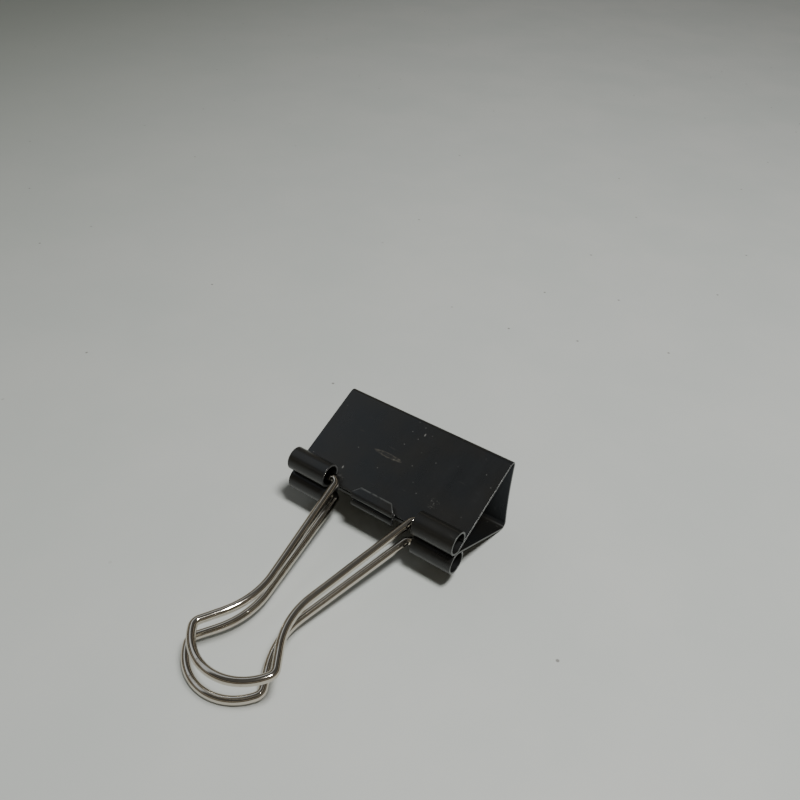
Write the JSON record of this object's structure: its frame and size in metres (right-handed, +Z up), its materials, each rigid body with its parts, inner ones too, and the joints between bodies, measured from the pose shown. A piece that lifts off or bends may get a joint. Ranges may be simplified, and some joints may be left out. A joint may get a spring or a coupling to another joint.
{
  "type": "binder clip",
  "caption": "Binder clip: a folded black spring-steel clamp with rolled barrels at its lips, holding wire handles that swing out to open it and fold back over its jaws.",
  "frame": {"origin": "middle of the clip's bounding footprint on the surface it lies on", "axes": "+X along the clip's width, +Y from the handles' loops to the spine, +Z up"},
  "size_m": [0.032, 0.0538, 0.0147],
  "materials": {
    "black_enamel": "semi-gloss black enamel on spring steel",
    "nickel_wire": "bright nickel-plated drawn wire"
  },
  "bodies": {
    "spine": {"spine": "black_enamel"},
    "upper_jaw": {"upper_jaw": "black_enamel"},
    "lower_jaw": {"lower_jaw": "black_enamel"},
    "upper_handle": {"upper_handle": "nickel_wire"},
    "lower_handle": {"lower_handle": "nickel_wire"}
  },
  "joints": [
    {"name": "upper_jaw_open", "type": "hinge", "parent": "spine", "child": "upper_jaw", "pos_m": [0, 0.02548, 0.01461], "axis": [-1, 0, 0], "range_deg": [0, 25], "stiffness_Nm_per_rad": 0.6, "springref_deg": -11.46},
    {"name": "lower_jaw_open", "type": "hinge", "parent": "spine", "child": "lower_jaw", "pos_m": [0, 0.02548, 0.00009], "axis": [1, 0, 0], "range_deg": [0, 25], "stiffness_Nm_per_rad": 0.6, "springref_deg": -11.46},
    {"name": "upper_handle_swing", "type": "hinge", "parent": "upper_jaw", "child": "upper_handle", "pos_m": [0, 0.0105, 0.00941], "axis": [-1, 0, 0], "range_deg": [0, 161]},
    {"name": "lower_handle_swing", "type": "hinge", "parent": "lower_jaw", "child": "lower_handle", "pos_m": [0, 0.0105, 0.00529], "axis": [1, 0, 0], "range_deg": [-7.5, 150.4]}
  ],
  "couplings": [
    {"joint": "lower_jaw_open", "follows": "upper_jaw_open", "ratio": 1}
  ]
}
